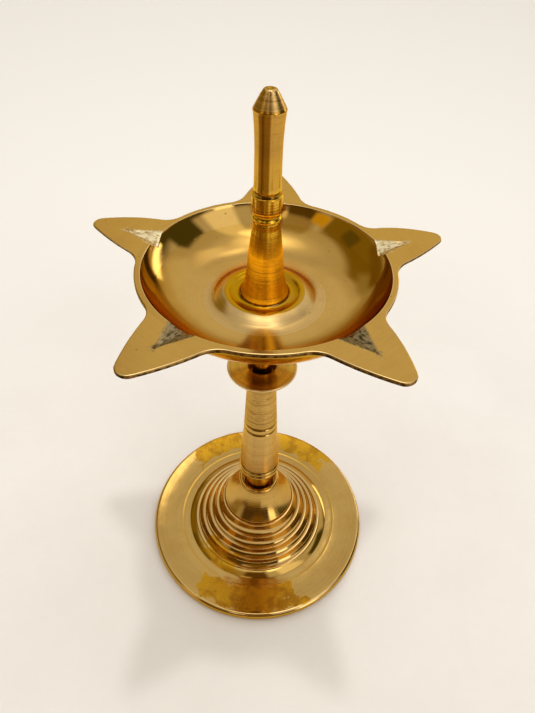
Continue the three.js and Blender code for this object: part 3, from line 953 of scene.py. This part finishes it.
def brass_tone_group():
    """Colour of the brass: clean metal, a warmer bloom in clouds, pale bright brass that is partly wear and
    partly painted highlight, and dark brown in grooves, inside corners and pits that is partly dirt and
    partly painted shade.
    """
    board, entry, leave = new_group("brass tone", {
        "Pale": (COLOUR, (0.62, 0.40, 0.15, 1)), "Gold": (COLOUR, (0.60, 0.33, 0.045, 1)),
        "Warm": (NUMBER, 0.5), "Bloom": (COLOUR, (0.50, 0.27, 0.06, 1)),
        "Worn And Highlight": (COLOUR, (0.90, 0.70, 0.38, 1)), "Shade And Grime": (COLOUR, (0.10, 0.062, 0.018, 1)),
        "Cloud": (NUMBER, 0.5), "Bloom Amount": (NUMBER, 0.4),
        "Recess": (NUMBER, 0.0), "Shade And Grime Amount": (NUMBER, 0.5), "Pits": (NUMBER, 0.0),
    }, {"Color": COLOUR})
    bloom = board.times(board.between(entry["Cloud"], 0.42, 0.68), entry["Bloom Amount"])
    colour = board.blend(bloom, board.blend(entry["Warm"], entry["Pale"], entry["Gold"]), entry["Bloom"])
    # Negative warm blends in pale bright brass: partly wear, partly painted highlight and painted
    # lightening.
    colour = board.blend(board.times(entry["Warm"], -1.0, clamp=True), colour, entry["Worn And Highlight"])
    # Dark brown in grooves, inside corners and casting pits: partly dirt, partly painted shade.
    dirt_and_shade = board.most(board.times(entry["Recess"], entry["Shade And Grime Amount"]), board.times(entry["Pits"], 0.5))
    board.feed(leave["Color"], board.blend(dirt_and_shade, colour, entry["Shade And Grime"]))
    return board.tree


def file_marks_group():
    """Raw metal where a coarse file was pushed outwards: long ridges, torn grain and bright specks, which
    are painted glints.
    """
    board, entry, leave = new_group("file marks", {"Place": (VECTOR, None)},
                                    {"Height": NUMBER, "Specks": NUMBER})
    parts = board.split(entry["Place"])
    radius = board.length(board.joined(parts[0], parts[1], 0.0))
    notch_distance = 0.042
    around = board.times(board.compass(parts), notch_distance)
    stroke = board.joined(around, board.times(radius, 0.22), parts[2])
    ridges = board.grain(stroke, 2400.0, 2.0, 0.6)
    torn = board.grain(entry["Place"], 1700.0, 3.0, 0.7)
    board.feed(leave["Height"], board.plus(board.times(ridges, 0.65), board.times(torn, 0.35)))
    patchy = board.plus(board.times(board.grain(stroke, 1500.0, 3.0, 0.65), 0.6),
                        board.times(board.grain(entry["Place"], 900.0, 2.0, 0.6), 0.4))
    board.feed(leave["Specks"], board.between(patchy, 0.38, 0.56))
    return board.tree


def painted_reflection_islands_group():
    """Islands on the plate and the steps where reflections are painted amber-brown, as a mask with torn
    edges.
    """
    board, entry, leave = new_group("painted reflection islands", {"Place": (VECTOR, None)}, {"Mask": NUMBER})
    parts = board.split(entry["Place"])
    flat = board.joined(parts[0], parts[1], 0.0)
    radius = board.over(board.length(flat), mm)
    turn = board.calc("DEGREES", board.compass(parts))
    torn = board.minus(board.grain(flat, 150.0, 4.0, 0.6), 0.5)
    found = -1.0
    # middle angle from the front and half width in degrees, middle radius and half width in millimetres
    islands = ((-150, 24, 44.5, 6.6), (150, 26, 44.5, 6.6), (-6, 38, 42.5, 6.6), (-34, 24, 29.0, 4.6))
    for middle, half, ring, reach in islands:
        off = board.size(board.calc("WRAP", board.minus(turn, float(middle)), 180.0, -180.0))
        across = board.size(board.minus(radius, ring))
        island = board.calc("MINIMUM", board.minus(1.0, board.over(off, float(half))),
                            board.minus(1.0, board.over(across, reach)))
        found = board.most(found, island)
    board.feed(leave["Mask"], board.between(board.plus(found, board.times(torn, 1.7)), 0.2, 0.26))
    return board.tree


def painted_reflection_patches(board, groups, place, colour, rough):
    """Painted reflections on the plate and steps: amber-brown patches, duller than the bare metal."""
    island = board.group(groups["painted reflections"], {"Place": place}).outputs[0]
    patch_tone = board.between(board.grain(place, 130.0, 3.0, 0.6), 0.45, 0.62)
    reflected_amber = board.blend(patch_tone, (0.60, 0.31, 0.01, 1), (0.42, 0.19, 0.006, 1))
    colour = board.blend(board.times(island, 0.9), colour, reflected_amber)
    return colour, board.plus(rough, board.times(island, 0.14))


def filed_and_sawn(board, groups, place, colour, rough, height):
    """Raw notches, darker on some wings than on others, and the dirty sawn edge of the star."""
    files = board.group(groups["files"], {"Place": place})
    filed, sawn = board.mark("filed"), board.mark("sawn")
    # The bright specks in the raw notch colour are painted glints.
    raw = board.blend(files.outputs["Specks"], (0.56, 0.38, 0.15, 1), (1.0, 0.88, 0.58, 1))
    darkened_raw = board.blend(files.outputs["Specks"], (0.05, 0.036, 0.013, 1), (0.30, 0.225, 0.11, 1))
    colour = board.blend(filed, colour, board.blend(board.mark("notch_darkness"), raw, darkened_raw))
    edge_dirt = board.between(board.grain(place, 700.0, 3.0, 0.65), 0.36, 0.6)
    edge_colour = board.blend(edge_dirt, (0.36, 0.20, 0.06, 1), (0.05, 0.026, 0.009, 1))
    colour = board.blend(sawn, colour, edge_colour)
    rough = board.plus(rough, board.times(board.most(filed, sawn), 0.3))
    file_depth = 0.00011
    torn = board.times(files.outputs["Height"], file_depth)
    return colour, rough, board.plus(height, board.times(torn, board.most(filed, board.times(sawn, 0.7))))


def blank_material(name):
    """A new material and the board that holds its nodes, still empty."""
    material = bpy.data.materials.new(name)
    material.use_nodes = True
    material.node_tree.nodes.clear()
    return material, Board(material.node_tree)


def brass(name, groups, polished, lathe, spacing, ring_height, wave_height, bloom, seed,
          pale, gold, shade_and_grime=0.4, line_shade=0.5, star=False, with_painted_reflections=False):
    """A brass whose gloss runs from polished to lathe-cut by the piece's satin mark."""
    material, board = blank_material(name)
    place = board.add("ShaderNodeTexCoord").outputs["Object"]
    lines = board.group(groups["lines"], {"Place": place, "Spacing": spacing, "Seed": seed}).outputs
    hands = board.group(groups["hands"], {"Place": place, "Seed": seed}).outputs
    satin = board.mark("satin")
    turned_share = board.calc("MINIMUM", satin, 1.0)
    cast = board.between(satin, 1.1, 2.0)
    tone = board.group(groups["tone"], {
        "Pale": pale, "Gold": gold, "Warm": board.mark("warm"), "Cloud": hands["Cloud"],
        "Bloom Amount": bloom, "Recess": board.mark("recess"), "Shade And Grime Amount": shade_and_grime, "Pits": hands["Pits"]})
    cast_brown = (0.22, 0.13, 0.05, 1)
    groove_dirt_and_shade = (0.16, 0.075, 0.012, 1)
    colour = board.blend(board.times(cast, 0.7), tone.outputs[0], cast_brown)
    # Lathe grooves and chatter marks are tinted darker: partly residue in them, partly painted shade.
    groove = board.most(board.between(lines["Height"], 0.50, 0.34),
                        board.times(board.between(lines["Fine"], 0.5, 0.36), 0.6))
    groove = board.most(groove, board.times(lines["Chatter"], 0.9))
    groove = board.times(board.times(groove, turned_share), line_shade)
    colour = board.blend(groove, colour, groove_dirt_and_shade)
    rough = board.plus(polished, board.times(turned_share, lathe - polished))
    rough = board.plus(rough, board.times(hands["Scratches"], 0.12))
    rough = board.plus(rough, board.times(board.minus(hands["Cloud"], 0.5), 0.08))
    rough = board.plus(rough, board.times(cast, 0.3))
    rings = board.times(board.plus(lines["Height"], board.times(lines["Fine"], 0.35)),
                        board.times(board.plus(0.15, turned_share), ring_height))
    waves = board.times(hands["Waves"], wave_height)
    pit_depth = 0.00006
    height = board.plus(board.plus(rings, waves), board.times(hands["Pits"], -pit_depth))
    # Amber-brown patches on the plate and the steps are painted reflections.
    if with_painted_reflections:
        colour, rough = painted_reflection_patches(board, groups, place, colour, rough)
    if star:
        colour, rough, height = filed_and_sawn(board, groups, place, colour, rough, height)
    bump = board.add("ShaderNodeBump", {"Height": height, "Distance": 1.0, "Strength": 1.0})
    tangent = board.add("ShaderNodeTangent", direction_type="RADIAL", axis="Z")
    surface = board.add("ShaderNodeBsdfPrincipled", {
        "Base Color": colour, "Metallic": 1.0, "Roughness": board.most(rough, 0.04),
        "Specular Tint": (1.0, 0.76, 0.40, 1), "Anisotropic": 0.7, "Anisotropic Rotation": 0.25,
        "Normal": bump.outputs[0], "Tangent": tangent.outputs[0]})
    board.add("ShaderNodeOutputMaterial", {"Surface": surface.outputs[0]})
    return material


# ---------------------------------------------------------------- floor, room and camera

def floor_material():
    """A pale table, a little uneven near the lamp and plain further out, where it is painted paler to make
    up for the overhead lamp's falloff.
    """
    material, board = blank_material("pale floor")
    place = board.add("ShaderNodeTexCoord").outputs["Object"]
    out = board.length(place)
    cloud = board.between(board.grain(place, 9.0, 4.0, 0.55), 0.3, 0.7)
    cloud = board.plus(cloud, board.times(board.minus(board.grain(place, 240.0, 5.0, 0.7), 0.5), 0.7))
    colour = board.blend(cloud, (0.865, 0.84, 0.825, 1), (0.92, 0.90, 0.888, 1))
    # Paler further out: painted light making up for the overhead lamp's falloff.
    colour = board.blend(board.between(out, 0.06, 0.4), colour, (0.945, 0.932, 0.922, 1))
    # The metal mirrors the unlit left of the table; the camera sees the same pale floor all round
    unseen = board.minus(1.0, board.add("ShaderNodeLightPath").outputs["Is Camera Ray"])
    turn = board.calc("DEGREES", board.compass(board.split(place)))
    far_out = board.between(out, 0.12, 0.24)
    edge = 6.0
    for middle, half, shade in ((-37.0, 47, (0.36, 0.24, 0.07, 1)), (-48.0, 9, (0.16, 0.09, 0.02, 1))):
        off = board.size(board.minus(turn, middle))
        unlit = board.times(board.between(off, half + edge, half - edge), far_out)
        colour = board.blend(board.times(unlit, unseen), colour, shade)
    surface = board.add("ShaderNodeBsdfPrincipled", {"Base Color": colour, "Roughness": 0.85,
                                                     "Specular IOR Level": 0.2})
    board.add("ShaderNodeOutputMaterial", {"Surface": surface.outputs[0]})
    return material


def panel_group():
    """A soft-edged rectangle in the surroundings, by compass angle and elevation in degrees."""
    board, entry, leave = new_group("panel", {
        "Angle": (NUMBER, 0.0), "Elevation": (NUMBER, 0.0), "Middle": (NUMBER, 0.0),
        "Height": (NUMBER, 0.0), "Half Width": (NUMBER, 10.0), "Half Height": (NUMBER, 10.0),
        "Softness": (NUMBER, 4.0),
    }, {"Share": NUMBER})
    off = board.size(board.calc("WRAP", board.minus(entry["Angle"], entry["Middle"]), 180.0, -180.0))
    sides = board.over(board.minus(entry["Half Width"], off), entry["Softness"])
    off = board.size(board.minus(entry["Elevation"], entry["Height"]))
    ends = board.over(board.minus(entry["Half Height"], off), entry["Softness"])
    sides, ends = (board.plus(share, 0.5, clamp=True) for share in (sides, ends))
    board.feed(leave["Share"], board.times(sides, ends))
    return board.tree


def room_light(board, elevation):
    """The plain room without its panels: warm near the floor, pale walls, bright ceiling."""
    ramp = board.add("ShaderNodeValToRGB", {"Fac": board.over(board.plus(elevation, 10.0), 100.0)})
    ramp.color_ramp.interpolation = "EASE"
    stops = ramp.color_ramp.elements
    stops[0].position, stops[0].color = 0.0, (0.50, 0.40, 0.26, 1)
    stops[1].position, stops[1].color = 1.0, (2.2, 2.15, 2.05, 1)
    for degrees, colour in ((12, (0.52, 0.45, 0.33, 1)), (32, (0.68, 0.64, 0.57, 1)),
                            (56, (0.68, 0.65, 0.61, 1)), (68, (0.82, 0.80, 0.77, 1)),
                            (76, (1.5, 1.46, 1.39, 1)), (83, (2.6, 2.55, 2.4, 1))):
        stops.new((degrees + 10) / 100).color = colour
    return ramp.outputs[0]


def surroundings():
    """The studio round the lamp, which the metal mirrors; the camera sees only its pale backdrop."""
    world = bpy.data.worlds.new("studio")
    bpy.context.scene.world = world
    world.use_nodes = True
    world.node_tree.nodes.clear()
    board = Board(world.node_tree)
    parts = board.split(board.add("ShaderNodeTexCoord").outputs["Generated"])
    angle = board.calc("DEGREES", board.compass(parts))
    elevation = board.calc("DEGREES", board.calc("ARCSINE", parts[2]))
    light = room_light(board, elevation)
    panel_tree = panel_group()
    panels = (
        # middle angle, elevation, half width, half height, softness, light
        (165, 35, 42, 13, 10, (0.86, 0.83, 0.78, 1)),  # back wall
        (136, 60, 20, 9, 8, (1.25, 1.2, 1.12, 1)),  # top of the back wall on the right
        (160, 65, 7, 5, 4, (2.6, 2.5, 2.3, 1)),  # small ceiling lamp at the back
        (-148, 40, 16, 14, 10, (0.70, 0.64, 0.57, 1)),  # back wall on the left
        (-6, 8, 40, 14, 10, (0.09, 0.05, 0.012, 1)),  # dark low front
        (-104, 24, 42, 20, 8, (0.28, 0.19, 0.015, 1)),  # wooden wall on the left
        (-92, 27, 8, 8, 5, (0.15, 0.11, 0.01, 1)),  # its darker middle
        (-128, 11, 16, 6, 6, (0.22, 0.13, 0.008, 1)),  # low wood at the back left
        (-143, 25, 10, 7, 6, (0.42, 0.36, 0.18, 1)),  # passage between wood and back wall
        (92, 6, 32, 13, 8, (0.09, 0.075, 0.013, 1)),  # dark low right
        (155, 14, 18, 8, 8, (0.75, 0.68, 0.52, 1)),  # pale low back
        (140, 6, 14, 8, 8, (0.60, 0.50, 0.24, 1)),  # its golden foot
        (130, 10, 14, 4, 3, (3.0, 2.9, 2.6, 1)),  # low window at the back right
        (-30, 50, 22, 13, 8, (0.46, 0.36, 0.18, 1)),  # front wall, upper left
        (-34, 28, 15, 11, 6, (0.13, 0.08, 0.008, 1)),  # dark opening under it
        (-55, 30, 8, 10, 4, (0.82, 0.52, 0.02, 1)),  # golden curtain beside it
        (2, 22, 15, 10, 6, (0.26, 0.13, 0.006, 1)),  # brown front, middle
        (0, 50, 17, 18, 6, (0.15, 0.08, 0.012, 1)),  # dark front, above
        (-14, 40, 7, 6, 4, (1.1, 0.95, 0.70, 1)),  # pale patch in the dark front
        (50, 50, 16, 30, 6, (1.25, 1.22, 1.17, 1)),  # tall screen on the right
        (42, 12, 9, 9, 4, (2.4, 2.3, 2.1, 1)),  # bright window at its foot
        (38, 72, 14, 7, 5, (2.7, 2.65, 2.5, 1)),  # ceiling lamp above it
        (92, 26, 15, 15, 5, (0.09, 0.08, 0.015, 1)),  # dark wall on the right
    )
    for middle, height, half_width, half_height, soft, colour in panels:
        panel = board.group(panel_tree, {
            "Angle": angle, "Elevation": elevation, "Middle": middle, "Height": height,
            "Half Width": half_width, "Half Height": half_height, "Softness": soft})
        light = board.blend(panel.outputs[0], light, colour)
    plain = board.add("ShaderNodeLightPath").outputs["Is Camera Ray"]
    light = board.blend(plain, light, (0.90, 0.875, 0.845, 1))
    background = board.add("ShaderNodeBackground", {"Color": light, "Strength": 1.0})
    board.add("ShaderNodeOutputWorld", {"Surface": background.outputs[0]})


def area_light(name, shape, size, energy, colour, location):
    """A light that shines on the table and isn't mirrored in the metal."""
    data = bpy.data.lights.new(name, "AREA")
    data.shape, data.size, data.energy, data.color = shape, size, energy, colour
    light = bpy.data.objects.new(name, data)
    light.location = location
    light.visible_glossy = False
    bpy.context.scene.collection.objects.link(light)
    return light


def lamp_overhead():
    """The small soft light whose shadow of the star lies on the floor."""
    aim = Vector((axis_x, axis_y, 0.1))
    light = area_light("overhead", "DISK", 0.05, 1.1, (1.0, 0.97, 0.92),
                       (axis_x + 0.036, axis_y + 0.080, 0.813))
    light.rotation_euler = (aim - light.location).to_track_quat("-Z", "Y").to_euler()


def soft_box():
    """A wide soft light over the table, which fills the shadows on the floor."""
    light = area_light("soft box", "SQUARE", 1.6, 3.3, (1.0, 1.0, 1.0), (axis_x, axis_y + 0.85, 1.3))
    light.visible_camera = False


def camera_of_photo():
    """The photograph's camera: in front of the lamp and above it, looking down."""
    distance, height = 0.13299, 0.23946
    pitch, yaw, roll = math.radians(44.248), math.radians(0.756), math.radians(2.243)
    image_height = 713
    focal_pixels = 527.93
    ahead = Vector((math.sin(yaw) * math.cos(pitch), math.cos(yaw) * math.cos(pitch), -math.sin(pitch)))
    right = Vector((math.cos(yaw), -math.sin(yaw), 0))
    up = right.cross(ahead)
    across = right * math.cos(roll) + up * math.sin(roll)
    upward = up * math.cos(roll) - right * math.sin(roll)
    data = bpy.data.cameras.new("photo camera")
    data.sensor_fit = "AUTO"
    data.sensor_width = 36
    data.lens = focal_pixels / image_height * data.sensor_width
    data.clip_start, data.clip_end = 0.01, 20
    camera = bpy.data.objects.new("photo camera", data)
    turn = Matrix((across, upward, -ahead)).transposed().to_4x4()
    camera.matrix_world = Matrix.Translation((axis_x, axis_y - distance, height)) @ turn
    bpy.context.scene.collection.objects.link(camera)
    bpy.context.scene.camera = camera


def floor():
    """The table top, far larger than the picture."""
    side = 3.0
    mesh = bpy.data.meshes.new("floor")
    corners = [(-side, -side, 0), (side, -side, 0), (side, side, 0), (-side, side, 0)]
    mesh.from_pydata(corners, [], [(0, 1, 2, 3)])
    made = bpy.data.objects.new("floor", mesh)
    mesh.materials.append(floor_material())
    bpy.context.scene.collection.objects.link(made)


# ---------------------------------------------------------------- the lamp

groups = {"lines": lathe_lines_group(), "hands": hand_marks_group(), "tone": brass_tone_group(),
          "files": file_marks_group(), "painted reflections": painted_reflection_islands_group()}
base_brass = brass("base brass", groups, polished=0.07, lathe=0.19, spacing=0.0009,
                   ring_height=0.000018, wave_height=0.00016, bloom=0.3, seed=1.0,
                   pale=(0.62, 0.40, 0.125, 1), gold=(0.60, 0.33, 0.03, 1),
                   shade_and_grime=0.2, line_shade=0.35, with_painted_reflections=True)
stem_brass = brass("stem brass", groups, polished=0.12, lathe=0.28, spacing=0.0007,
                   ring_height=0.00005, wave_height=0.00003, bloom=0.45, seed=2.0,
                   pale=(0.64, 0.425, 0.16, 1), gold=(0.72, 0.41, 0.03, 1),
                   shade_and_grime=0.8, line_shade=0.7)
bowl_brass = brass("bowl brass", groups, polished=0.06, lathe=0.30, spacing=0.0009,
                   ring_height=0.000008, wave_height=0.00009, bloom=0.25, seed=3.0,
                   pale=(0.62, 0.40, 0.13, 1), gold=(0.52, 0.27, 0.006, 1),
                   shade_and_grime=0.1, line_shade=0.12, star=True)
# The finial's gold is painted far brighter than the other brass's gold to brighten its reflections: painted
# light.
finial_brass = brass("finial brass", groups, polished=0.09, lathe=0.34, spacing=0.0006,
                     ring_height=0.00005, wave_height=0.00002, bloom=0.3, seed=4.0,
                     pale=(0.60, 0.33, 0.06, 1), gold=(0.98, 0.60, 0.03, 1),
                     shade_and_grime=0.6, line_shade=0.6)
# The studs are painted paler than the other brass to lighten them where they show in shade: painted light.
stud_brass = brass("stud brass", groups, polished=0.14, lathe=0.35, spacing=0.0008,
                   ring_height=0.000008, wave_height=0.00001, bloom=0.6, seed=5.0,
                   pale=(0.86, 0.58, 0.10, 1), gold=(0.86, 0.54, 0.04, 1),
                   shade_and_grime=0.8)

place(turned("cast_base", base_outline(), 240, closed=True), "base", base_brass)
place(threaded_stud("lower_stud_thread", "lower_stud", lower_pitch, *lower_plain_part),
      "lower_stud", stud_brass)
place(turned("turned_stem", stem_outline(), 144), "stem", stem_brass)
place(threaded_stud("upper_stud_thread", "upper_stud", upper_pitch, *upper_plain_part),
      "upper_stud", stud_brass)
place(star_bowl(), "bowl", bowl_brass)
place(threaded_stud("finial_stud_thread", "finial_stud", upper_pitch, *finial_plain_part),
      "finial_stud", stud_brass)
place(turned("turned_finial", finial_outline(), 128), "finial", finial_brass)

floor()
surroundings()
lamp_overhead()
soft_box()
camera_of_photo()
bpy.context.scene.view_settings.view_transform = "Standard"
